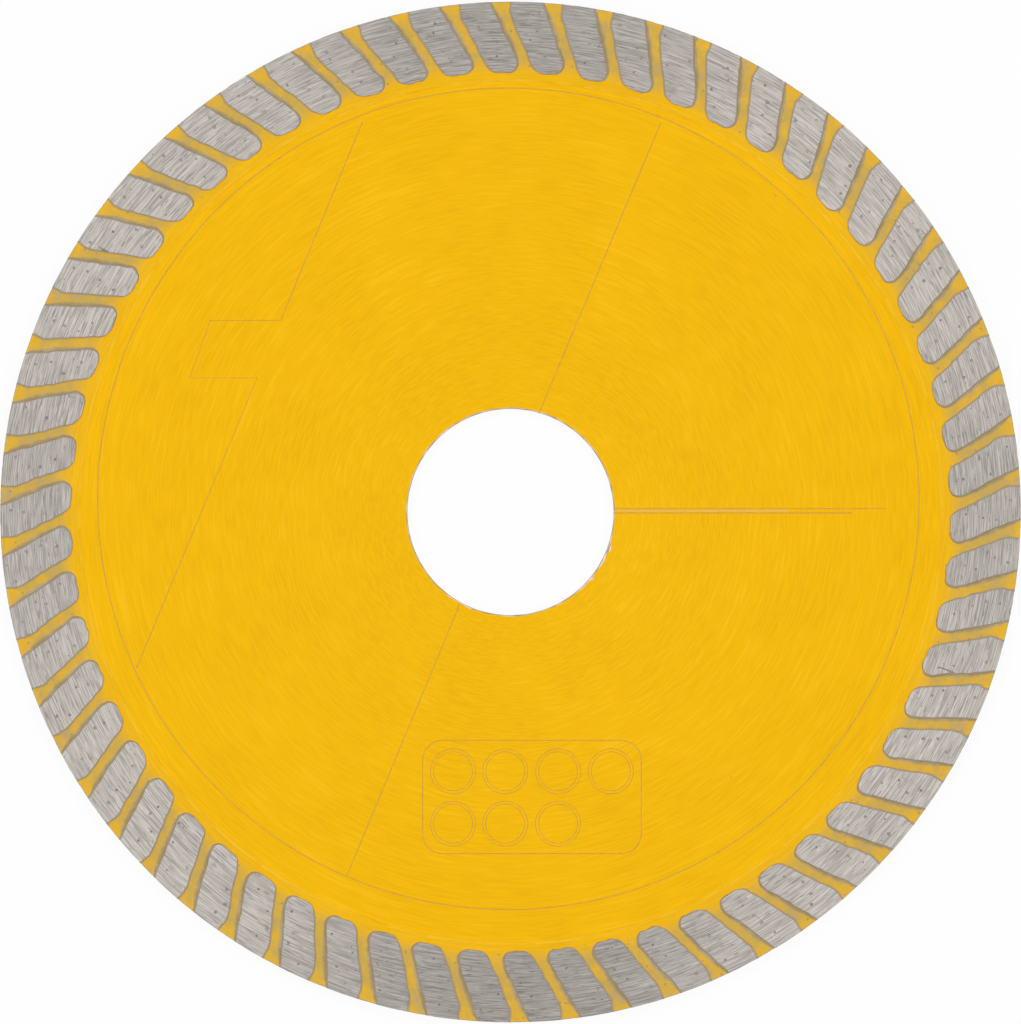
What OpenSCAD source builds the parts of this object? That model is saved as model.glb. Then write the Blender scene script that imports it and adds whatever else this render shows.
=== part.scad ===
// Turbo rim diamond blade: a painted steel core with a sintered, ridged cutting rim.
// The blade lies flat: +Z is the axis of the arbor bore and points out of the front face,
// and the origin is the centre of the bore, half way through the core.

/* [Core] */
// Diameter of the arbor bore
bore_d = 22.23; // [15:0.01:30]
// Thickness of the steel core
core_t = 1.2; // [1:0.1:1.4]
// Depth of the step that the rim is pressed on to, on each face
seat_step = 0.1; // [0.05:0.05:0.2]
// How far the thinner edge reaches under the rim
seat_reach = 1.9; // [1:0.1:3]
// Number of keys round the edge of the core
key_count = 31; // [12:1:48]
// Height of each key above the edge of the core
key_h = 1.3; // [0.5:0.1:2]
// Width of each key at its root
key_root_w = 3.2; // [2:0.1:3.5]
// Extra width of each key at its tip
key_flare = 0.8; // [0:0.1:1.2]

/* [Rim] */
// Outside diameter of the blade
blade_d = 110; // [90:1:150]
// Radial height of the rim, from its inner shoulder to the cutting edge
rim_h = 8.65; // [7:0.05:12]
// Thickness of the rim between its ridges
web_t = 1.6; // [1.5:0.1:2]
// Thickness of the rim over its ridges
rim_t = 2.2; // [2.1:0.1:3.4]
// Width of the sloping inner shoulder
shoulder_w = 0.3; // [0.1:0.05:0.5]

/* [Ridges] */
// Number of ridges on each face
ridge_count = 62; // [40:1:66]
// Plain band between the foot of the shoulder and the inner end of the ridges
ridge_inset = 1; // [0.6:0.1:2]
// Gap between neighbouring ridges half way along them, measured round the blade
gully_w = 1.18; // [0.6:0.01:1.6]
// Lean of the counter-clockwise flank of a ridge from the radial direction
ridge_lean = 26.4; // [10:0.1:32]
// How much less the clockwise flank leans, so that a ridge widens outwards
ridge_spread = 4.3; // [0:0.1:6]
// Radial length of the square outer end of the counter-clockwise flank
corner_l = 1.5; // [0.5:0.1:2.5]
// Rounding of the inner clockwise corner
foot_r = 1.15; // [0.5:0.05:1.3]
// Rounding of the inner counter-clockwise corner
toe_r = 1.5; // [0.5:0.05:1.6]
// Place of the first ridge, counter-clockwise from +X
first_ridge = 5.46; // [0:0.01:6]

/* [Diamonds] */
// Crystals in the face of each ridge
grit_per_ridge = 4; // [1:1:4]
// Largest crystal, across its corners
grit_d = 0.38; // [0.3:0.02:0.6]
// Smallest crystal, as a share of the largest
grit_small = 0.6; // [0.5:0.05:1]
// Depth of a crystal below the ground face
grit_deep = 0.3; // [0.2:0.05:0.4]

/* [Hidden] */

blade_r = blade_d / 2;
bore_r = bore_d / 2;
seat_r = blade_r - rim_h;
edge_r = seat_r + seat_reach;
edge_t = core_t - 2 * seat_step;

pitch = 360 / ridge_count;
ridge_from = seat_r + ridge_inset;
ridge_mid = (ridge_from + blade_r) / 2;
half_w = PI * ridge_mid / ridge_count - gully_w / 2;
ridge_top = rim_t / 2;
// Stock beyond the cutting edge, which is then turned away
stock = 1;

// Room kept between a crystal and the flanks, the inner end and the cutting edge
grit_room = 0.35;
grit_from = ridge_from + foot_r;
grit_to = blade_r - grit_deep - grit_d;
grit_step = (grit_to - grit_from) / grit_per_ridge;
grit_count = ridge_count * grit_per_ridge;
grit_sides = 6;
// How far a crystal strays from its place, as a share of the spacing
face_stray = 0.25;
edge_stray = 0.4;
// Starting numbers of the random draws
front_seed = 11;
rear_seed = 47;
edge_seed = 83;

// Facets in a full circle, and in each rounded corner of a ridge
disc_fn = 720;
arc_steps = 6;

// Where the clockwise and counter-clockwise flanks of a ridge lie, at distance x along it
cw_lean = ridge_lean - ridge_spread;
function cw_flank(x) = (x - ridge_mid) * tan(cw_lean) - half_w;
function ccw_flank(x) = (x - ridge_mid) * tan(ridge_lean) + half_w;
corner_x = blade_r - corner_l;

// Distance from a sharp corner to where a rounding of radius r leaves its sides
function tangent_l(r, corner) = r / tan(corner / 2);
foot_t = tangent_l(foot_r, 90 - cw_lean);
toe_t = tangent_l(toe_r, 90 + ridge_lean);

// Points of an arc about centre c, from angle a0 to angle a1
function arc(c, r, a0, a1) =
    [for (i = [0 : arc_steps]) let (a = a0 + (a1 - a0) * i / arc_steps) c + r * [cos(a), sin(a)]];

// Outline of one ridge in plan, lying along +X
module ridge_outline() {
    far = blade_r + stock;
    polygon(concat(
        arc([ridge_from + foot_r, cw_flank(ridge_from) + foot_t], foot_r, 180, 270 + cw_lean),
        [[far, cw_flank(far)], [far, ccw_flank(corner_x)], [corner_x, ccw_flank(corner_x)]],
        arc([ridge_from + toe_r, ccw_flank(ridge_from) - toe_t], toe_r, 90 + ridge_lean, 180)
    ));
}

// The ridges of one face, on the upper side of the blade's middle plane
module ridges() {
    linear_extrude(ridge_top)
        for (i = [0 : ridge_count - 1])
            rotate(first_ridge + i * pitch)
                ridge_outline();
}

// Everything drawn for the front face is repeated behind, half a pitch further round
module rear_face() {
    rotate(pitch / 2)
        mirror([0, 0, 1])
            children();
}

// Crystals of one face, one in each stretch of each ridge, ground level with the ridge top
module face_grit(seed) {
    along = rands(-face_stray, face_stray, grit_count, seed);
    across = rands(-1, 1, grit_count, seed + 1);
    turn = rands(0, 360 / grit_sides, grit_count, seed + 2);
    share = rands(grit_small, 1, grit_count, seed + 3);
    reach = half_w - grit_room - grit_d / 2;
    for (i = [0 : ridge_count - 1], j = [0 : grit_per_ridge - 1]) {
        k = i * grit_per_ridge + j;
        x = grit_from + (j + 0.5 + along[k]) * grit_step;
        y = (cw_flank(x) + ccw_flank(x)) / 2 + across[k] * reach;
        rotate(first_ridge + i * pitch)
            translate([x, y, ridge_top - grit_deep])
                rotate(turn[k])
                    cylinder(d = grit_d * share[k], h = grit_deep, $fn = grit_sides);
    }
}

// Crystals in the cutting edge, or their pockets, which run out through it by the length beyond.
// Each crystal is ground flat where its corners meet the edge.
module edge_grit(seed, beyond = 0) {
    around = rands(-edge_stray, edge_stray, ridge_count, seed);
    height = rands(-1, 1, ridge_count, seed + 1);
    share = rands(grit_small, 1, ridge_count, seed + 2);
    reach = web_t / 2 - grit_d;
    ground_x = sqrt(pow(blade_r, 2) - pow(grit_d / 2, 2));
    for (i = [0 : ridge_count - 1])
        rotate((i + around[i]) * pitch)
            translate([ground_x - grit_deep, 0, height[i] * reach])
                rotate([0, 90, 0])
                    cylinder(d = grit_d * share[i], h = grit_deep + beyond, $fn = grit_sides);
}

// Thinner edge of the core with its keys, which the rim is pressed round
module keyed_edge() {
    linear_extrude(edge_t, center = true) {
        circle(r = edge_r, $fn = disc_fn);
        for (i = [0 : key_count - 1])
            rotate(i * 360 / key_count)
                polygon([
                    [edge_r - key_h, -key_root_w / 2],
                    [edge_r + key_h, -(key_root_w + key_flare) / 2],
                    [edge_r + key_h, (key_root_w + key_flare) / 2],
                    [edge_r - key_h, key_root_w / 2]
                ]);
    }
}

module steel_core() {
    color([0.96, 0.73, 0.06])
        difference() {
            union() {
                cylinder(r = seat_r, h = core_t, center = true, $fn = disc_fn);
                keyed_edge();
            }
            cylinder(r = bore_r, h = 2 * core_t, center = true, $fn = disc_fn);
        }
}

// Plain band of the rim before its ridges and pockets, with its two sloping shoulders
module rim_band() {
    rotate_extrude($fn = disc_fn)
        polygon([
            [seat_r, -core_t / 2],
            [seat_r + shoulder_w, -web_t / 2],
            [blade_r + stock, -web_t / 2],
            [blade_r + stock, web_t / 2],
            [seat_r + shoulder_w, web_t / 2],
            [seat_r, core_t / 2]
        ]);
}

module turbo_rim() {
    color([0.69, 0.68, 0.65])
        difference() {
            intersection() {
                union() {
                    rim_band();
                    ridges();
                    rear_face() ridges();
                }
                cylinder(r = blade_r, h = 2 * rim_t, center = true, $fn = disc_fn);
            }
            keyed_edge();
            face_grit(front_seed);
            rear_face() face_grit(rear_seed);
            edge_grit(edge_seed, stock);
        }
}

module front_diamonds() {
    color([0.42, 0.38, 0.36])
        face_grit(front_seed);
}

module rear_diamonds() {
    color([0.42, 0.38, 0.36])
        rear_face() face_grit(rear_seed);
}

module edge_diamonds() {
    color([0.42, 0.38, 0.36])
        edge_grit(edge_seed);
}

steel_core();
turbo_rim();
front_diamonds();
rear_diamonds();
edge_diamonds();
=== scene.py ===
import math
import bmesh
import bpy
from mathutils import Matrix, Vector, noise


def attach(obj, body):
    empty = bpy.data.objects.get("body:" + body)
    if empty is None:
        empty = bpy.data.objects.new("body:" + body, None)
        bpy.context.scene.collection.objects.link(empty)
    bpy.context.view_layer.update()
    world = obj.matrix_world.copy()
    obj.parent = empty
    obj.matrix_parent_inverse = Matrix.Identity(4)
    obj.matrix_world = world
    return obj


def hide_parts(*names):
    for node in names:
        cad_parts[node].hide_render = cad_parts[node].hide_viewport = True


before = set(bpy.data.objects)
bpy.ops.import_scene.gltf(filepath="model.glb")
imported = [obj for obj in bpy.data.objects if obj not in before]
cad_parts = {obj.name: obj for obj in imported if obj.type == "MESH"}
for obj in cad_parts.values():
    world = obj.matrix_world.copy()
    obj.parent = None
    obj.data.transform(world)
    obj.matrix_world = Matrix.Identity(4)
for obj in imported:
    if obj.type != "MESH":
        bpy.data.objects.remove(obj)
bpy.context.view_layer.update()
print("stage: frame loaded")

mm = 0.001
near = 0.01 * mm  # how close two measures count as the same
turn = 2 * math.pi
scene = bpy.context.scene


def radiusOf(point):
    return math.hypot(point.x, point.y)


# sizes that several pieces share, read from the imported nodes
corePoints = [v.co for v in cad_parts["steel_core"].data.vertices]
rimPoints = [v.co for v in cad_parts["turbo_rim"].data.vertices]
coreTop = max(p.z for p in corePoints)
seat = max(radiusOf(p) for p in corePoints if p.z > coreTop - near)
blade = {
    "radius": max(radiusOf(p) for p in rimPoints),
    "bore": min(radiusOf(p) for p in corePoints),
    "coreTop": coreTop,
    "seat": seat,  # where the core's face ends and the rim starts
    # top of the thinner edge under the rim
    "thin": max(p.z for p in corePoints if radiusOf(p) > seat + near),
    "webTop": max(p.z for p in rimPoints if radiusOf(p) < seat + 0.5 * mm),  # floor of the gullies
    "ridgeTop": max(p.z for p in rimPoints),
}


def tint(red, green, blue):
    # a colour in steps of 0 to 255, as the linear value that a shader takes
    def level(step):
        share = step / 255
        return share / 12.92 if share <= 0.04045 else ((share + 0.055) / 1.055) ** 2.4
    return (level(red), level(green), level(blue), 1)


colours = {
    "paint": tint(246, 187, 0),
    "paintPale": tint(250, 194, 22),
    "paintDeep": tint(237, 178, 0),
    "steel": tint(208, 194, 178),
    "steelDark": tint(150, 128, 104),
    "ground": tint(146, 141, 136),
    "groundPale": tint(174, 168, 162),
    "groundDark": tint(112, 108, 103),
    "foot": tint(163, 142, 100),  # dust and shade where a ridge's wall meets the gully
    "wall": tint(188, 173, 148),
    "dust": tint(176, 150, 96),
    "gully": tint(199, 167, 84),
    "scuff": tint(184, 160, 124),
    "shoulderHighlight": tint(250, 198, 46),  # painted highlight: paler paint along the shoulder of the rim
    "matrix": tint(124, 116, 106),
    "pit": tint(78, 70, 64),
    "mark": tint(207, 156, 54),
    "markFill": tint(234, 182, 74),
}


def newPiece(name, bm, material):
    mesh = bpy.data.meshes.new(name)
    bm.to_mesh(mesh)
    bm.free()
    mesh.materials.append(material)
    piece = bpy.data.objects.new(name, mesh)
    scene.collection.objects.link(piece)
    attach(piece, "root")
    return piece


def toolPiece(bm):
    # a helper shape for a boolean, gone before the end
    mesh = bpy.data.meshes.new("tool")
    bm.to_mesh(mesh)
    bm.free()
    tool = bpy.data.objects.new("tool", mesh)
    scene.collection.objects.link(tool)
    return tool


def combine(piece, operation, tool):
    # joins, cuts or trims a piece with a helper shape, which is then removed
    step = piece.modifiers.new(operation, "BOOLEAN")
    step.operation = operation
    step.solver = "MANIFOLD"
    step.object = tool
    graph = bpy.context.evaluated_depsgraph_get()
    made = bpy.data.meshes.new_from_object(piece.evaluated_get(graph))
    piece.modifiers.clear()
    made.name = piece.data.name
    piece.data = made
    bpy.data.objects.remove(tool)


def spinProfile(corners, steps):
    # a closed outline of (radius, height) corners, spun into a ring about the axis of the bore
    bm = bmesh.new()
    points = [bm.verts.new((radius, 0, height)) for radius, height in corners]
    sides = [bm.edges.new((a, b)) for a, b in zip(points, points[1:] + points[:1])]
    bmesh.ops.spin(bm, geom=points + sides, cent=(0, 0, 0), axis=(0, 0, 1), angle=turn,
                   steps=steps, use_merge=True)
    bmesh.ops.recalc_face_normals(bm, faces=bm.faces)
    return bm


def roundRing(bm, radius, height, offset, segments):
    # rounds the circular edges at one radius, at this height on both faces
    def onRing(v):
        return abs(radiusOf(v.co) - radius) < near and abs(abs(v.co.z) - height) < near

    rings = [edge for edge in bm.edges if all(onRing(v) for v in edge.verts)]
    bmesh.ops.bevel(bm, geom=rings, offset=offset, affect="EDGES", segments=segments, profile=0.5,
                    material=-1)


def extrudeOn(bm, faces, level):
    # carries faces on to their next level; only the faces of the first level stay, as the closed end
    made = bmesh.ops.extrude_face_region(bm, geom=faces)["geom"]
    if level > 1:
        bmesh.ops.delete(bm, geom=faces, context="FACES_ONLY")
    return [g for g in made if isinstance(g, bmesh.types.BMFace)]


def put(tree, kind, inputs=(), **settings):
    # adds a node; inputs is a list in order, or a dictionary by name, of values and of sockets to link
    node = tree.nodes.new(kind)
    for name, value in settings.items():
        setattr(node, name, value)
    pairs = inputs.items() if isinstance(inputs, dict) else enumerate(inputs)
    for key, value in pairs:
        if isinstance(value, bpy.types.NodeSocket):
            tree.links.new(value, node.inputs[key])
        elif value is not None:
            node.inputs[key].default_value = value
    return node


def maths(tree, operation, *values):
    return put(tree, "ShaderNodeMath", values, operation=operation).outputs[0]


def vectorMaths(tree, operation, *values):
    # gives a vector, or a number where the operation measures one
    outputs = put(tree, "ShaderNodeVectorMath", values, operation=operation).outputs
    return outputs["Value" if operation in ("LENGTH", "DISTANCE", "DOT_PRODUCT") else "Vector"]


def spread(tree, value, low, high, newLow=0, newHigh=1, kind="SMOOTHSTEP"):
    # carries low..high over to newLow..newHigh, and stops at both ends
    node = put(tree, "ShaderNodeMapRange", [value, low, high, newLow, newHigh], interpolation_type=kind)
    return node.outputs[0]


def blendColour(tree, share, first, second):
    node = put(tree, "ShaderNodeMix", data_type="RGBA")
    for socket, value in ((node.inputs[0], share), (node.inputs[6], first), (node.inputs[7], second)):
        if isinstance(value, bpy.types.NodeSocket):
            tree.links.new(value, socket)
        else:
            socket.default_value = value
    return node.outputs[2]


def noiseOf(tree, vector, scale, detail, roughness=0.5):
    node = put(tree, "ShaderNodeTexNoise", {"Vector": vector, "Scale": scale, "Detail": detail,
                                            "Roughness": roughness})
    return node.outputs[0]


groups = {}
numberSocket = "NodeSocketFloat"


def newGroup(name, inputs, outputs):
    # an empty node group; inputs are (name, socket kind, value) and outputs (name, socket kind)
    group = bpy.data.node_groups.new(name, "ShaderNodeTree")
    for label, kind, value in inputs:
        socket = group.interface.new_socket(label, in_out="INPUT", socket_type=kind)
        socket.default_value = value
    for label, kind in outputs:
        group.interface.new_socket(label, in_out="OUTPUT", socket_type=kind)
    return group, group.nodes.new("NodeGroupInput").outputs, group.nodes.new("NodeGroupOutput").inputs


def useGroup(tree, name, inputs=()):
    # places a shared effect in a material or another group
    return put(tree, "ShaderNodeGroup", inputs, node_tree=groups[name]).outputs


def objectPoint(tree):
    return put(tree, "ShaderNodeTexCoord").outputs["Object"]


def makePlace():
    # where a point lies: its radius, its height above the middle plane, and the way out to it
    group, _, result = newGroup("place on blade", [], [("Radius", numberSocket), ("Height", numberSocket),
                                                       ("Around", "NodeSocketVector")])
    axes = put(group, "ShaderNodeSeparateXYZ", [objectPoint(group)]).outputs
    flat = put(group, "ShaderNodeCombineXYZ", [axes[0], axes[1], 0]).outputs[0]
    group.links.new(vectorMaths(group, "LENGTH", flat), result["Radius"])
    group.links.new(maths(group, "ABSOLUTE", axes[2]), result["Height"])
    group.links.new(vectorMaths(group, "NORMALIZE", flat), result["Around"])
    return group


def makeTurnedLines():
    # long fine lines round the axis, as grinding or turning leaves; Along and Across set how fine
    inputs = [("Along", numberSocket, 8), ("Across", numberSocket, 8000), ("Waver", numberSocket, 0.05 * mm)]
    group, given, result = newGroup("turned lines", inputs, [("Lines", numberSocket)])
    place = useGroup(group, "place")
    slow = noiseOf(group, objectPoint(group), 420, 1)
    waver = maths(group, "MULTIPLY", maths(group, "SUBTRACT", slow, 0.5), given["Waver"])
    depth = maths(group, "ADD", place["Radius"], maths(group, "ADD", place["Height"], waver))
    depth = maths(group, "MULTIPLY", depth, given["Across"])
    around = vectorMaths(group, "SCALE", place["Around"], None, None, given["Along"])
    out = put(group, "ShaderNodeCombineXYZ", [0, 0, depth]).outputs[0]
    group.links.new(noiseOf(group, vectorMaths(group, "ADD", around, out), 1, 0.6), result["Lines"])
    return group


def makeSpecks():
    # scattered small round marks; Share sets how many cells of the pattern hold one
    inputs = [("Scale", numberSocket, 1500), ("Share", numberSocket, 0.2), ("Size", numberSocket, 0.3)]
    group, given, result = newGroup("specks", inputs, [("Mask", numberSocket)])
    cells = put(group, "ShaderNodeTexVoronoi", {"Vector": objectPoint(group), "Scale": given["Scale"],
                                                "Randomness": 1}).outputs
    chosen = put(group, "ShaderNodeSeparateColor", [cells["Color"]]).outputs[0]
    chosen = maths(group, "LESS_THAN", chosen, given["Share"])
    dot = spread(group, cells["Distance"], given["Size"], maths(group, "MULTIPLY", given["Size"], 0.5))
    group.links.new(maths(group, "MULTIPLY", dot, chosen), result["Mask"])
    return group


coatFinish = {
    "broad": {"Along": 7, "Across": 3600, "Waver": 0.3 * mm},  # pale streaks
    "fine": {"Along": 14, "Across": 7000, "Waver": 0.2 * mm},  # turned lines that show through
    "cloud": 110,  # scale of the slow change of tone
    "dirt": {"Scale": 420, "Share": 0.02, "Size": 0.08},
    "dirtTone": 0.4,
    "roughness": (0.44, 0.54),
}


def makeCoat():
    # the yellow coat over turned steel: its colour, and the height that shows through
    outputs = [("Colour", "NodeSocketColor"), ("Height", numberSocket), ("Roughness", numberSocket)]
    group, _, result = newGroup("yellow coat", [], outputs)
    cloud = noiseOf(group, objectPoint(group), coatFinish["cloud"], 4)
    broad = useGroup(group, "lines", coatFinish["broad"])[0]
    fine = useGroup(group, "lines", coatFinish["fine"])[0]
    streak = spread(group, broad, 0.52, 0.7)
    streak = maths(group, "MULTIPLY", streak, spread(group, cloud, 0.4, 0.6, 0.15, 0.65))
    colour = blendColour(group, spread(group, fine, 0.3, 0.7), colours["paintDeep"], colours["paint"])
    colour = blendColour(group, spread(group, cloud, 0.35, 0.7, 0, 0.6), colour, colours["paint"])
    colour = blendColour(group, streak, colour, colours["paintPale"])
    dirt = maths(group, "MULTIPLY", useGroup(group, "specks", coatFinish["dirt"])[0], coatFinish["dirtTone"])
    group.links.new(blendColour(group, dirt, colour, colours["dust"]), result["Colour"])
    group.links.new(maths(group, "ADD", fine, streak), result["Height"])
    group.links.new(spread(group, fine, 0.3, 0.7, *coatFinish["roughness"]), result["Roughness"])
    return group


groups["place"] = makePlace()
groups["lines"] = makeTurnedLines()
groups["specks"] = makeSpecks()
groups["coat"] = makeCoat()


def newMaterial(name, **uniform):
    # a material with its Principled BSDF; uniform values are set on the sockets themselves
    material = bpy.data.materials.new(name)
    material.use_nodes = True
    tree = material.node_tree
    shader = tree.nodes["Principled BSDF"]
    for socket, value in uniform.items():
        shader.inputs[socket.replace("_", " ")].default_value = value
    return material, tree, shader.inputs


def linkBump(tree, sockets, height, distance, strength):
    bump = put(tree, "ShaderNodeBump", {"Strength": strength, "Distance": distance, "Height": height})
    tree.links.new(bump.outputs[0], sockets["Normal"])


coreFinish = {
    "bareEdge": 0.16 * mm,  # bare steel left round the bore
    "bareWaver": 700,  # scale of the noise along its border
    "chipCentre": (9.6 * mm, -5.9 * mm, 0),  # middle of the chipped stretch of the bore's edge
    "chipReach": 3.6 * mm,
    "chipDepth": 0.3 * mm,  # how much further the bare steel reaches there
    "chipWaver": 1100,  # scale of the noise that breaks up the chips
    "nick": (-6.15 * mm, -9.62 * mm, 0),  # one small dark nick in the coat
    "nickSize": 0.3 * mm,
    "lines": {"Along": 10, "Across": 9000},
    "relief": 0.02 * mm,
}


def makePaintedSteel():
    material, tree, shader = newMaterial("painted steel", Specular_IOR_Level=0.07)
    coat = useGroup(tree, "coat")
    point = objectPoint(tree)
    gap = maths(tree, "SUBTRACT", useGroup(tree, "place")["Radius"], blade["bore"])

    # the bare edge widens where the coat has chipped away
    away = vectorMaths(tree, "DISTANCE", point, coreFinish["chipCentre"])
    reach = coreFinish["chipReach"]
    chipped = spread(tree, away, reach, 0.6 * reach, 0, coreFinish["chipDepth"])
    uneven = spread(tree, noiseOf(tree, point, coreFinish["chipWaver"], 2), 0.35, 0.65, 0.1, 1)
    chipped = maths(tree, "MULTIPLY", chipped, uneven)
    waver = spread(tree, noiseOf(tree, point, coreFinish["bareWaver"], 3), 0.25, 0.75, 0.6, 1.4)
    width = maths(tree, "ADD", maths(tree, "MULTIPLY", waver, coreFinish["bareEdge"]), chipped)
    bare = spread(tree, maths(tree, "DIVIDE", gap, width), 1.1, 0.7)
    away = vectorMaths(tree, "DISTANCE", point, coreFinish["nick"])
    nick = spread(tree, away, coreFinish["nickSize"], 0.4 * coreFinish["nickSize"])

    lines = useGroup(tree, "lines", coreFinish["lines"])[0]
    steel = blendColour(tree, spread(tree, lines, 0.35, 0.65), colours["steelDark"], colours["steel"])
    shade = blendColour(tree, bare, coat["Colour"], steel)
    tree.links.new(blendColour(tree, nick, shade, colours["foot"]), shader["Base Color"])
    tree.links.new(maths(tree, "MULTIPLY", bare, 0.5), shader["Metallic"])
    tree.links.new(coat["Roughness"], shader["Roughness"])
    height = maths(tree, "MULTIPLY", coat["Height"], 0.25)
    height = maths(tree, "SUBTRACT", height, maths(tree, "ADD", bare, nick))
    linkBump(tree, shader, height, coreFinish["relief"], 0.6)
    return material


rimFinish = {
    "lines": {"Along": 16, "Across": 11000},  # ground lines of the ridge tops
    "shortLines": {"Along": 38.4, "Across": 8800, "Waver": 0.12 * mm},  # broken scratches among them
    "grain": 2600,  # scale of the sintered grain
    "patch": 560,  # scale of the dirt and wear
    "pits": {"Scale": 2100, "Share": 0.09, "Size": 0.2},
    "pitTone": 0.75,
    "dust": {"Scale": 1500, "Share": 0.16, "Size": 0.26},
    "dustTone": 0.5,
    "wearStart": 0.7 * mm,  # how far out of the seat the gullies start to wear
    "edgeDepth": 0.1 * mm,  # how far the bare cutting edge comes round on to the faces
    "roughness": (0.33, 0.4),
    "relief": 0.006 * mm,
}


def groundTops(tree, fine):
    # grinding lines and pits of the ridge tops
    short = useGroup(tree, "lines", rimFinish["shortLines"])[0]
    ground = blendColour(tree, spread(tree, fine, 0.25, 0.75), colours["groundDark"], colours["groundPale"])
    ground = blendColour(tree, 0.35, ground, colours["ground"])
    ground = blendColour(tree, spread(tree, short, 0.38, 0.28, 0, 0.8), ground, colours["groundDark"])
    ground = blendColour(tree, spread(tree, short, 0.64, 0.76, 0, 0.7), ground, colours["groundPale"])
    pits = maths(tree, "MULTIPLY", useGroup(tree, "specks", rimFinish["pits"])[0], rimFinish["pitTone"])
    return blendColour(tree, pits, ground, colours["pit"])


def gullyFloor(tree, coat, radius, patch):
    # yellow coat, worn to mustard and grey half way out
    along = spread(tree, radius, blade["seat"] + rimFinish["wearStart"], blade["radius"], kind="LINEAR")
    worn = maths(tree, "MULTIPLY", spread(tree, along, 0, 0.28, 0.1, 1), spread(tree, along, 1, 0.7, 0.6, 1))
    worn = maths(tree, "MULTIPLY", worn, spread(tree, patch, 0.3, 0.6, 0.5, 1))
    floor = blendColour(tree, worn, coat["Colour"], colours["gully"])
    scuff = maths(tree, "MULTIPLY", spread(tree, along, 0.15, 0.5), spread(tree, patch, 0.54, 0.68, 0, 0.65))
    floor = blendColour(tree, scuff, floor, colours["scuff"])
    dust = useGroup(tree, "specks", rimFinish["dust"])[0]
    dust = maths(tree, "MULTIPLY", dust, spread(tree, along, 0, 0.1, 0, rimFinish["dustTone"]))
    return blendColour(tree, dust, floor, colours["matrix"])


def ridgeWalls(tree, floor, shadedFlank, uneven, patch):
    # dust and painted shade at the foot of the clockwise flanks, less on the others; elsewhere the coat
    # climbs half way up
    footDustAndShade = maths(tree, "MULTIPLY", spread(tree, uneven, 0.6, 0.25), spread(tree, patch, 0.35, 0.6, 0.4, 1))
    footDustAndShade = maths(tree, "MULTIPLY", footDustAndShade, spread(tree, shadedFlank, 0, 1, 0.5, 1))
    wall = blendColour(tree, footDustAndShade, colours["wall"], colours["foot"])
    low = spread(tree, shadedFlank, 0, 1, 0.07, 0.015)
    high = spread(tree, shadedFlank, 0, 1, 0.5, 0.1)
    return blendColour(tree, spread(tree, uneven, low, high), floor, wall)


def paintedShoulderHighlight(tree, height, patch):
    # a painted highlight: the paint made paler along the sloping shoulder
    low, high = blade["coreTop"], blade["webTop"]
    rise = high - low
    shoulderHighlight = maths(tree, "MULTIPLY", spread(tree, height, low, low + 0.3 * rise),
                spread(tree, height, high - 0.02 * rise, high - 0.3 * rise))
    return maths(tree, "MULTIPLY", shoulderHighlight, spread(tree, patch, 0.35, 0.55, 0.1, 0.75))


def makeSintered():
    material, tree, shader = newMaterial("sintered matrix", Specular_IOR_Level=0.07, Anisotropic=0.96,
                                         Anisotropic_Rotation=0.25)
    coat = useGroup(tree, "coat")
    place = useGroup(tree, "place")
    point = objectPoint(tree)
    normal = put(tree, "ShaderNodeTexCoord").outputs["Normal"]
    grain = noiseOf(tree, point, rimFinish["grain"], 3)
    patch = noiseOf(tree, point, rimFinish["patch"], 4, 0.6)
    fine = useGroup(tree, "lines", rimFinish["lines"])[0]

    # the bare cutting edge faces outwards
    depth = rimFinish["edgeDepth"]
    edge = spread(tree, place["Radius"], blade["radius"] - depth, blade["radius"] - 0.5 * depth)
    outward = vectorMaths(tree, "DOT_PRODUCT", normal, place["Around"])
    edge = maths(tree, "MAXIMUM", edge, spread(tree, outward, 0.6, 0.85))

    # ground tops, down to a slightly uneven line just over the rounded crest
    rise = spread(tree, place["Height"], blade["webTop"], blade["ridgeTop"], kind="LINEAR")
    top = maths(tree, "ADD", rise, spread(tree, grain, 0.2, 0.8, -0.05, 0.05, "LINEAR"))
    top = spread(tree, top, 0.86, 0.97)

    # 1 on the clockwise flanks of the ridges, which are given painted shade
    clockwise = vectorMaths(tree, "CROSS_PRODUCT", place["Around"], (0, 0, 1))
    shadedFlank = spread(tree, vectorMaths(tree, "DOT_PRODUCT", normal, clockwise), 0, 0.06)
    uneven = maths(tree, "ADD", rise, spread(tree, grain, 0.3, 0.7, -0.015, 0.015, "LINEAR"))
    side = ridgeWalls(tree, gullyFloor(tree, coat, place["Radius"], patch), shadedFlank, uneven, patch)
    # paler paint on the shoulder, as a painted highlight
    side = blendColour(tree, paintedShoulderHighlight(tree, place["Height"], patch), side, colours["shoulderHighlight"])
    side = blendColour(tree, edge, side, blendColour(tree, grain, colours["wall"], colours["matrix"]))
    tree.links.new(blendColour(tree, top, side, groundTops(tree, fine)), shader["Base Color"])

    bare = maths(tree, "MAXIMUM", top, maths(tree, "MULTIPLY", edge, 0.6))
    tree.links.new(bare, shader["Metallic"])
    rough = spread(tree, fine, 0.3, 0.7, *rimFinish["roughness"])
    rough = put(tree, "ShaderNodeMix", [top, None, coat["Roughness"], rough]).outputs[0]
    tree.links.new(rough, shader["Roughness"])
    relief = maths(tree, "ADD", maths(tree, "MULTIPLY", fine, top), maths(tree, "MULTIPLY", grain, 0.5))
    linkBump(tree, shader, relief, rimFinish["relief"], 0.6)
    tangent = put(tree, "ShaderNodeTangent", direction_type="RADIAL", axis="Z").outputs[0]
    tree.links.new(tangent, shader["Tangent"])
    return material


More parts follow.
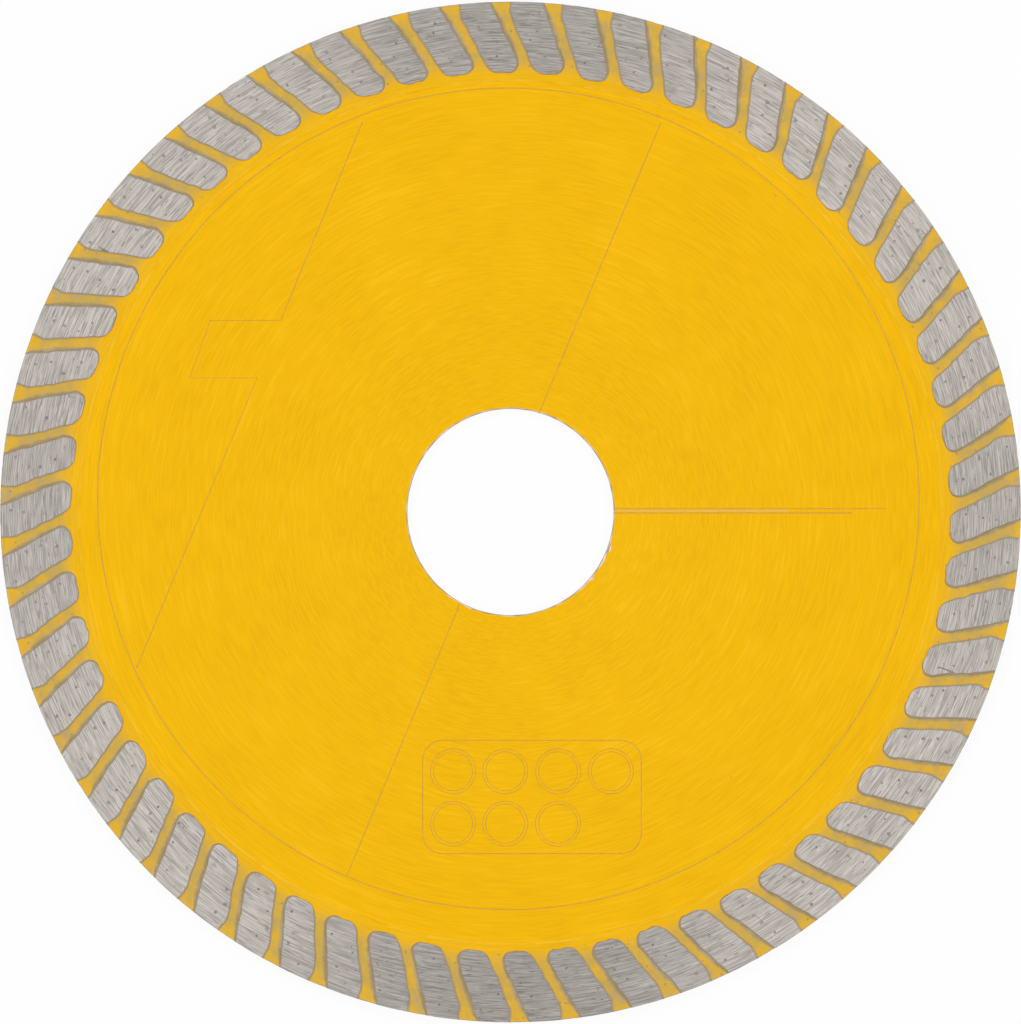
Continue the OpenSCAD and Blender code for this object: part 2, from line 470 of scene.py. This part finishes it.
gritFinish = {
    "cell": 0.7 * mm,  # crystals in one such cube share a colour
    "stops": ((0, tint(92, 84, 80)), (0.25, tint(138, 120, 116)), (0.55, tint(156, 138, 132)),
              (0.8, tint(140, 140, 124)), (1, tint(170, 160, 152))),
    "facet": 5000,  # scale of the noise on a crystal's faces
    "relief": 0.02 * mm,
}


def makeCrystal():
    material, tree, shader = newMaterial("diamond crystal", Roughness=0.22, Specular_IOR_Level=0.6, IOR=1.9)
    point = objectPoint(tree)
    cell = vectorMaths(tree, "SNAP", point, (gritFinish["cell"],) * 3)
    draw = put(tree, "ShaderNodeTexWhiteNoise", [cell]).outputs[0]
    ramp = put(tree, "ShaderNodeValToRGB", [draw])
    for position, _ in gritFinish["stops"][1:-1]:
        ramp.color_ramp.elements.new(position)
    for element, (position, colour) in zip(ramp.color_ramp.elements, gritFinish["stops"]):
        element.position = position
        element.color = colour
    facet = noiseOf(tree, point, gritFinish["facet"], 2)
    shade = blendColour(tree, spread(tree, facet, 0.3, 0.7, 0, 0.35), ramp.outputs[0], colours["pit"])
    tree.links.new(shade, shader["Base Color"])
    linkBump(tree, shader, facet, gritFinish["relief"], 0.5)
    return material


markFinish = {
    "uneven": 1800,  # scale of the noise along a line
    "paintLeft": 0.35,  # most that the paint shows through
    "roughness": (0.5, 0.7),
    "relief": 0.01 * mm,
}


def makeMark(name, colour):
    # a laser-scribed line: the coat burnt to a duller tan, a little uneven along its length
    material, tree, shader = newMaterial(name, Specular_IOR_Level=0.2)
    uneven = noiseOf(tree, objectPoint(tree), markFinish["uneven"], 3)
    paintLeft = spread(tree, uneven, 0.3, 0.7, 0, markFinish["paintLeft"])
    tree.links.new(blendColour(tree, paintLeft, colour, colours["paint"]), shader["Base Color"])
    tree.links.new(spread(tree, uneven, 0.3, 0.7, *markFinish["roughness"]), shader["Roughness"])
    linkBump(tree, shader, uneven, markFinish["relief"], 0.4)
    return material


paintedSteel = makePaintedSteel()
sintered = makeSintered()
crystal = makeCrystal()
markLine = makeMark("scribed line", colours["mark"])
markFill = makeMark("scribed fill", colours["markFill"])
print("stage: materials made")

core = {
    "steps": 512,
    "edgeRound": 0.12 * mm,  # rounding of the bore's edges
    "edgeSegments": 3,
    "thinReach": 1.9 * mm,  # how far the thinner edge goes under the rim
    "keys": 31,
    "keyHeight": 1.3 * mm,
    "keyRoot": 3.2 * mm,
    "keyFlare": 0.8 * mm,
    "sharpAbove": 32,  # degrees between two faces, past which the edge is sharp
}


def coreShape():
    # the disc with its thinner edge
    bore, seat, edge = blade["bore"], blade["seat"], blade["seat"] + core["thinReach"]
    top, thin = blade["coreTop"], blade["thin"]
    bm = spinProfile([(bore, -top), (seat, -top), (seat, -thin), (edge, -thin),
                      (edge, thin), (seat, thin), (seat, top), (bore, top)], core["steps"])
    roundRing(bm, bore, top, core["edgeRound"], core["edgeSegments"])
    return bm


def coreKeys():
    # dovetail keys round the thinner edge, one cube each with its outer end widened
    edge = blade["seat"] + core["thinReach"]
    bm = bmesh.new()
    for i in range(core["keys"]):
        made = bmesh.ops.create_cube(bm, size=1)["verts"]
        bmesh.ops.scale(bm, vec=(2 * core["keyHeight"], core["keyRoot"], 2 * blade["thin"]), verts=made)
        outer = [v for v in made if v.co.x > 0]
        bmesh.ops.scale(bm, vec=(1, 1 + core["keyFlare"] / core["keyRoot"], 1), verts=outer)
        bmesh.ops.translate(bm, vec=(edge, 0, 0), verts=made)
        bmesh.ops.rotate(bm, cent=(0, 0, 0), verts=made,
                         matrix=Matrix.Rotation(turn * i / core["keys"], 3, "Z"))
    return bm


paintedCore = newPiece("painted_core", coreShape(), paintedSteel)
combine(paintedCore, "UNION", toolPiece(coreKeys()))
paintedCore.data.set_sharp_from_angle(angle=math.radians(core["sharpAbove"]))
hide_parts("steel_core")
print("stage: core made, faces", len(paintedCore.data.polygons))

grit = {
    "uneven": 0.05 * mm,  # how far a crystal's corners stray
    "noise": 2.7,  # per millimetre, as for the other noises of shapes
    "seed": 3,  # without one, the corners stray another way each run
    "chamfer": 0.02 * mm,
    "pocket": 0.012 * mm,  # gap between a crystal and its pocket
    "shifts": {"front_diamonds": 3, "rear_diamonds": 29, "edge_diamonds": 57},  # keep the pieces unlike
}
noise.seed_set(grit["seed"])


def crystalShape(node):
    # the crystals of one node with uneven outlines; the ground ends stay level
    shift = Vector((grit["shifts"][node], 0, 0))
    bm = bmesh.new()
    bm.from_mesh(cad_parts[node].data)
    bmesh.ops.remove_doubles(bm, verts=bm.verts, dist=0.001 * mm)
    bmesh.ops.dissolve_limit(bm, angle_limit=math.radians(2), verts=bm.verts, edges=bm.edges)
    for v in bm.verts:
        stray = noise.noise_vector(v.co / mm * grit["noise"] + shift) * grit["uneven"]
        stray.z = 0
        v.co += stray
    return bm


def makeCrystals(name, node):
    bm = crystalShape(node)
    bmesh.ops.bevel(bm, geom=list(bm.edges), offset=grit["chamfer"], affect="EDGES", segments=1, profile=0.5,
                    material=-1, clamp_overlap=True)
    piece = newPiece(name, bm, crystal)
    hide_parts(node)
    return piece


def makePockets(node):
    bm = crystalShape(node)
    bmesh.ops.recalc_face_normals(bm, faces=bm.faces)
    for v in bm.verts:
        v.co += v.normal * grit["pocket"]
    return toolPiece(bm)


for node in grit["shifts"]:
    piece = makeCrystals(node.replace("diamonds", "crystals"), node)
    print("stage:", piece.name, "made, faces", len(piece.data.polygons))

rim = {
    "steps": 720,
    "shoulder": 0.3 * mm,  # width of the sloping inner shoulder
    "shoulderRound": 0.12 * mm,
    "shoulderSegments": 3,
    "shoulderWaver": 0.13 * mm,
    "waverNoise": (0.55, 1.7),
    "stock": 1 * mm,  # left beyond the cutting edge until it is trimmed
    "ridges": 62,  # on each face
    "first": 5.46,  # degrees from +X to the first ridge of the front face
    "inset": 0.95 * mm,
    "gully": 1.18 * mm,
    "lean": 26.4,
    "spread": 4.3,  # degrees that the clockwise flank leans less
    "corner": 1.5 * mm,
    "cornerRound": 2 * mm,
    "footRound": 1.15 * mm,
    "toeRound": 1.5 * mm,
    "roundSegments": 6,
    "outlineStep": 0.32 * mm,
    "ragged": 0.16 * mm,
    "raggedNoise": (0.45, 1.3),
    "flankSlope": 0.2 * mm,  # how far the crest lies inside the foot of a flank
    "endSlope": 0.07 * mm,  # the same at the inner end
    "fillet": 0.5 * mm,  # how much further the foot of the clockwise flank runs out, half way along
    "otherFillet": 0.1 * mm,
    "rough": 0.2,  # how uneven the walls are, as a share of their slope
    "roughNoise": 3,
    "sunk": 0.3 * mm,  # how deep the ridges start inside the band
    # levels of a ridge: share of its height, and share of its slope; -1 is the outer end of the fillet
    "levels": [(0, -1), (0.07, -0.45), (0.15, 0), (0.5, 0.42), (0.85, 0.8), (1, 1)],
    "sharpAbove": 16,  # degrees between two faces, past which the edge is sharp
}


def bandShape():
    # the plain band of the rim, with a slightly wavering shoulder
    inner = blade["seat"]
    crestAt = inner + rim["shoulder"]
    outer = blade["radius"] + rim["stock"]
    low, high = blade["coreTop"], blade["webTop"]
    bm = spinProfile([(inner, -low), (crestAt, -high), (outer, -high),
                      (outer, high), (crestAt, high), (inner, low)], rim["steps"])
    roundRing(bm, crestAt, high, rim["shoulderRound"], rim["shoulderSegments"])
    slow, quick = rim["waverNoise"]
    for v in bm.verts:
        if inner + near < radiusOf(v.co) < outer - near:
            waver = noise.noise(v.co / mm * slow) + 0.5 * noise.noise(v.co / mm * quick)
            v.co += Vector((v.co.x, v.co.y, 0)).normalized() * waver * rim["shoulderWaver"]
    return bm


def ridgeCorners():
    # the foot of one ridge in plan, lying along +X: the clockwise flank, then back along the other
    start = blade["seat"] + rim["inset"]
    middle = (start + blade["radius"]) / 2
    halfWidth = math.pi * middle / rim["ridges"] - rim["gully"] / 2
    square = blade["radius"] - rim["corner"]
    far = blade["radius"] + rim["stock"]

    def flank(x, lean, side):
        return (x - middle) * math.tan(math.radians(lean)) + side * halfWidth

    clockwise = rim["lean"] - rim["spread"]
    outer = flank(square, rim["lean"], 1)
    return [(start, flank(start, clockwise, -1)), (far, flank(far, clockwise, -1)),
            (far, outer), (square, outer), (start, flank(start, rim["lean"], 1))]


def roundCorner(bm, corner, radius, angle):
    # rounds a flat corner of this inner angle; the offset runs along the sides to where the arc starts
    offset = radius / math.tan(math.radians(angle) / 2)
    bmesh.ops.bevel(bm, geom=[corner], offset=offset, affect="VERTICES", segments=rim["roundSegments"],
                    profile=0.5, material=-1)


def ridgeShape(index):
    # one ridge lying along +X, from inside the band up to its ground top
    bm = bmesh.new()
    outline = [bm.verts.new((x, y, 0)) for x, y in ridgeCorners()]
    bm.faces.new(outline)
    roundCorner(bm, outline[0], rim["footRound"], 90 - rim["lean"] + rim["spread"])
    roundCorner(bm, outline[3], rim["cornerRound"], 180 - rim["lean"])
    roundCorner(bm, outline[4], rim["toeRound"], 90 + rim["lean"])
    for edge in list(bm.edges):
        cuts = int(edge.calc_length() / rim["outlineStep"])
        if cuts:
            bmesh.ops.subdivide_edges(bm, edges=[edge], cuts=cuts)

    # each point keeps its place in plan, the way out of the ridge, and how far its wall and fillet reach
    plan = bm.verts.layers.float_vector.new("plan")
    out = bm.verts.layers.float_vector.new("out")
    slope = bm.verts.layers.float.new("slope")
    fillet = bm.verts.layers.float.new("fillet")
    start = blade["seat"] + rim["inset"]
    slow, quick = rim["raggedNoise"]
    for loop in list(bm.faces)[0].loops:
        way = (loop.link_loop_next.vert.co - loop.link_loop_prev.vert.co).normalized()
        v = loop.vert
        v[out] = Vector((way.y, -way.x, 0))
        v[slope] = way.x ** 2 * rim["flankSlope"] + way.y ** 2 * rim["endSlope"]
        share = min(max((v.co.x - start) / (blade["radius"] - start), 0), 1)
        hollow = max(way.x, 0) ** 2 * math.sin(math.pi * share ** 1.5)
        v[fillet] = rim["otherFillet"] + hollow * rim["fillet"]
        spot = v.co / mm + Vector((0, 0, 9 * index))
        ragged = 0.7 * noise.noise(spot * slow) + 0.6 * noise.noise(spot * quick)
        v[plan] = v.co + v[out] * ragged * rim["ragged"]

    low = blade["webTop"]
    tall = blade["ridgeTop"] - low
    levels = [(low - rim["sunk"], rim["levels"][0][1])]
    levels += [(low + tall * height, inset) for height, inset in rim["levels"]]
    faces = list(bm.faces)
    for level, (height, inset) in enumerate(levels):
        if level:
            faces = extrudeOn(bm, faces, level)
        for v in {v for face in faces for v in face.verts}:
            spot = Vector(v[plan]) / mm * rim["roughNoise"] + Vector((0, 0, level))
            rough = rim["rough"] * noise.noise(spot) if -1 < inset < 1 else 0
            reach = v[slope] if inset > 0 else v[fillet]
            v.co = v[plan] - v[out] * reach * (inset + rough)
            v.co.z = height
    return bm


def ridgesShape(side):
    # the ridges of one face, side 1 in front and -1 behind, where they stand half a pitch further round
    bm = bmesh.new()
    pitch = turn / rim["ridges"]
    start = math.radians(rim["first"]) + (pitch / 2 if side < 0 else 0)
    for i in range(rim["ridges"]):
        one = ridgeShape(i + (side < 0) * rim["ridges"])
        bmesh.ops.rotate(one, cent=(0, 0, 0), verts=one.verts,
                         matrix=Matrix.Rotation(start + i * pitch, 3, "Z"))
        mesh = bpy.data.meshes.new("ridge")
        one.to_mesh(mesh)
        one.free()
        bm.from_mesh(mesh)
        bpy.data.meshes.remove(mesh)
    if side < 0:
        bmesh.ops.scale(bm, vec=(1, 1, -1), verts=bm.verts)
    bmesh.ops.recalc_face_normals(bm, faces=bm.faces)
    return bm


trim = {
    "segments": 1800,
    "levels": 7,
    "ragged": 0.03 * mm,
    "raggedNoise": 1.6,
    "chip": 0.1 * mm,  # depth of the larger chips
    "chipNoise": 0.7,
    "chipFrom": 0.42,  # chips are where the noise passes this value
    "chipSpan": 0.3,
}


def trimShape():
    # the disc that the rim is turned down to; its edge is broken by grit, so it is a little ragged
    bm = bmesh.new()
    bmesh.ops.create_circle(bm, cap_ends=True, segments=trim["segments"], radius=blade["radius"])
    faces = list(bm.faces)
    deep = 1.2 * blade["ridgeTop"]
    for level in range(trim["levels"]):
        if level:
            faces = extrudeOn(bm, faces, level)
        for v in faces[0].verts:
            v.co.z = deep * (2 * level / (trim["levels"] - 1) - 1)
    for v in bm.verts:
        spot = v.co / mm
        fine = max(0, noise.noise(spot * trim["raggedNoise"]))
        chip = noise.noise(spot * trim["chipNoise"] + Vector((9, 0, 0))) - trim["chipFrom"]
        chip = max(0, chip) / trim["chipSpan"]
        inward = fine * trim["ragged"] + min(chip, 1) * trim["chip"]
        v.co -= Vector((v.co.x, v.co.y, 0)).normalized() * inward
    bmesh.ops.recalc_face_normals(bm, faces=bm.faces)
    return bm


turboRim = newPiece("rim_matrix", bandShape(), sintered)
for side in (1, -1):
    combine(turboRim, "UNION", toolPiece(ridgesShape(side)))
combine(turboRim, "INTERSECT", toolPiece(trimShape()))
combine(turboRim, "DIFFERENCE", toolPiece(coreShape()))
combine(turboRim, "DIFFERENCE", toolPiece(coreKeys()))
for node in grit["shifts"]:
    combine(turboRim, "DIFFERENCE", makePockets(node))
turboRim.data.set_sharp_from_angle(angle=math.radians(rim["sharpAbove"]))
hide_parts("turbo_rim")
print("stage: rim made, faces", len(turboRim.data.polygons))

# scribed lines of the front face; points and radii are plain millimetres
marks = {
    "proud": 0.012 * mm,  # how far the lines stand over the coat
    "line": 0.14 * mm,
    "border": {"centre": (-0.23, 1.42), "radius": 44.27, "steps": 360},
    "borderLine": 0.15 * mm,
    "zigzag": [(-15.95, 42.08), (-24.77, 20.65), (-32.36, 20.65), (-34.56, 14.45), (-27.31, 14.45),
               (-40.33, -16.86)],
    "slants": [[(16.21, 41.97), (3.06, 10.61)], [(-5.45, -9.86), (-17.62, -39.17)]],
    "cross": [[(11.21, 0.37), (40.41, 0.37)], [(11.2, -0.1), (36.75, -0.1)]],
    "crossFill": [(11.21, 0.14), (30, 0.14)],
    "crossFillLine": 0.26 * mm,
    "panel": (-9.48, -36.82, 14.1, -24.62),  # left, bottom, right and top of the empty frame
    "panelRound": 2.16,
    "ringRows": {-27.95: (-6.2, -0.57, 5.13, 10.81), -33.6: (-6.2, -0.57, 5.13)},
    "ringRadii": (2.1, 2.43),
    "ringSteps": 48,
    "ringLine": 0.1 * mm,
}


def layDown(name, curve, material):
    # makes a curve a mesh, flattens it and lays it on the core's front face
    source = bpy.data.objects.new(name, curve)
    scene.collection.objects.link(source)
    graph = bpy.context.evaluated_depsgraph_get()
    bm = bmesh.new()
    bm.from_mesh(bpy.data.meshes.new_from_object(source.evaluated_get(graph)))
    bpy.data.objects.remove(source)
    bmesh.ops.remove_doubles(bm, verts=bm.verts, dist=0.0005 * mm)
    tall = max(v.co.z for v in bm.verts)
    bmesh.ops.scale(bm, vec=(1, 1, marks["proud"] / tall), verts=bm.verts)
    bmesh.ops.translate(bm, vec=(0, 0, blade["coreTop"]), verts=bm.verts)
    bmesh.ops.recalc_face_normals(bm, faces=bm.faces)
    for face in bm.faces:
        face.smooth = False
    return newPiece(name, bm, material)


def scribe(name, strokes, width=marks["line"], material=markLine):
    # strokes are lists of points, closed if they end where they start
    curve = bpy.data.curves.new(name, "CURVE")
    curve.dimensions = "3D"
    curve.bevel_depth = width / 2
    curve.bevel_resolution = 1
    curve.use_fill_caps = True
    for stroke in strokes:
        closed = stroke[0] == stroke[-1]
        points = stroke[:-1] if closed else stroke
        spline = curve.splines.new("POLY")
        spline.points.add(len(points) - 1)
        for point, (x, y) in zip(spline.points, points):
            point.co = (x * mm, y * mm, 0, 1)
        spline.use_cyclic_u = closed
    return layDown(name, curve, material)


def arcPoints(centre, radius, fromAngle, toAngle, steps):
    angles = [math.radians(fromAngle + (toAngle - fromAngle) * i / steps) for i in range(steps + 1)]
    return [(centre[0] + radius * math.cos(a), centre[1] + radius * math.sin(a)) for a in angles]


def circle(centre, radius, steps):
    points = arcPoints(centre, radius, 0, 360, steps)
    return points[:-1] + points[:1]


def roundedFrame(left, bottom, right, top, radius):
    corners = ((right - radius, top - radius), (left + radius, top - radius),
               (left + radius, bottom + radius), (right - radius, bottom + radius))
    points = []
    for i, corner in enumerate(corners):
        points += arcPoints(corner, radius, 90 * i, 90 * (i + 1), 8)
    return points + points[:1]


scribe("border_ring", [circle(**marks["border"])], marks["borderLine"])
scribe("zigzag_line", [marks["zigzag"]])
scribe("slant_lines", marks["slants"])
scribe("cross_lines", marks["cross"])
scribe("cross_fill", [marks["crossFill"]], marks["crossFillLine"], markFill)
scribe("panel_frame", [roundedFrame(*marks["panel"], marks["panelRound"])])
scribe("panel_rings", [circle((x, y), radius, marks["ringSteps"]) for y, row in marks["ringRows"].items()
                       for x in row for radius in marks["ringRadii"]], marks["ringLine"])
print("stage: marks made")

shot = {
    "height": 1.6,  # metres over the ridge tops
    "wide": 2.0004 * blade["radius"],  # width of the view, which the blade fills
    "sensor": 36,
    "clip": (0.01, 20),
}


def makeCamera():
    data = bpy.data.cameras.new("camera")
    data.type = "PERSP"
    data.sensor_fit = "HORIZONTAL"
    data.sensor_width = shot["sensor"]
    data.lens = shot["sensor"] * shot["height"] / shot["wide"]
    data.clip_start, data.clip_end = shot["clip"]
    camera = bpy.data.objects.new("camera", data)
    camera.location = (0, 0, blade["ridgeTop"] + shot["height"])
    scene.collection.objects.link(camera)
    scene.camera = camera


# softboxes round the blade, in metres
light = {
    "distance": 0.55,
    "rise": 60,  # degrees over the floor
    "size": 0.24,
    "powers": {0: 0.27, 45: 0.44, 90: 0.24, 135: 0.44, 180: 0.29, 225: 0.44, 315: 0.44},  # watts by bearing
    "world": 0.3,
}


def makeLights():
    rise = math.radians(light["rise"])
    for degrees, power in light["powers"].items():
        bearing = math.radians(degrees)
        data = bpy.data.lights.new("softbox", "AREA")
        data.shape = "SQUARE"
        data.size = light["size"]
        data.energy = power
        lamp = bpy.data.objects.new("softbox", data)
        flat = math.cos(rise)
        way = Vector((flat * math.cos(bearing), flat * math.sin(bearing), math.sin(rise)))
        lamp.location = light["distance"] * way
        lamp.rotation_euler = (-lamp.location).to_track_quat("-Z", "Y").to_euler()
        scene.collection.objects.link(lamp)


def seenDirectly(tree):
    # 1 where a surface is seen by the camera, in a reflection or through glass
    path = put(tree, "ShaderNodeLightPath").outputs
    seen = maths(tree, "MAXIMUM", path["Is Camera Ray"], path["Is Glossy Ray"])
    return maths(tree, "MAXIMUM", seen, path["Is Transmission Ray"])


def makeWorld():
    world = bpy.data.worlds.new("studio")
    world.use_nodes = True
    tree = world.node_tree
    strength = put(tree, "ShaderNodeMapRange", [seenDirectly(tree), 0, 1, light["world"], 1]).outputs[0]
    tree.links.new(strength, tree.nodes["Background"].inputs["Strength"])
    tree.nodes["Background"].inputs["Color"].default_value = (1, 1, 1, 1)
    scene.world = world


floorFinish = {
    "radius": 4,  # metres
    "plain": (0.9, 0.9, 0.9, 1),
    "whiteShare": 0.93,  # the rest keeps the shadow
}


def makeFloor():
    # white where it is seen, with part of the shadow kept; from below it lets the view through
    material = bpy.data.materials.new("floor")
    material.use_nodes = True
    tree = material.node_tree
    tree.nodes.clear()
    plain = put(tree, "ShaderNodeBsdfDiffuse", {"Color": floorFinish["plain"]}).outputs[0]
    white = put(tree, "ShaderNodeEmission", {"Color": (1, 1, 1, 1), "Strength": 1}).outputs[0]
    share = maths(tree, "MULTIPLY", seenDirectly(tree), floorFinish["whiteShare"])
    surface = put(tree, "ShaderNodeMixShader", [share, plain, white]).outputs[0]
    clear = put(tree, "ShaderNodeBsdfTransparent").outputs[0]
    below = put(tree, "ShaderNodeNewGeometry").outputs["Backfacing"]
    surface = put(tree, "ShaderNodeMixShader", [below, surface, clear]).outputs[0]
    put(tree, "ShaderNodeOutputMaterial", [surface])
    bm = bmesh.new()
    bmesh.ops.create_circle(bm, cap_ends=True, segments=64, radius=floorFinish["radius"])
    bmesh.ops.translate(bm, vec=(0, 0, -blade["ridgeTop"]), verts=bm.verts)
    mesh = bpy.data.meshes.new("floor")
    bm.to_mesh(mesh)
    bm.free()
    mesh.materials.append(material)
    floor = bpy.data.objects.new("floor", mesh)
    scene.collection.objects.link(floor)


makeCamera()
makeLights()
makeWorld()
makeFloor()
scene.view_settings.view_transform = "Standard"
print("stage: studio made")
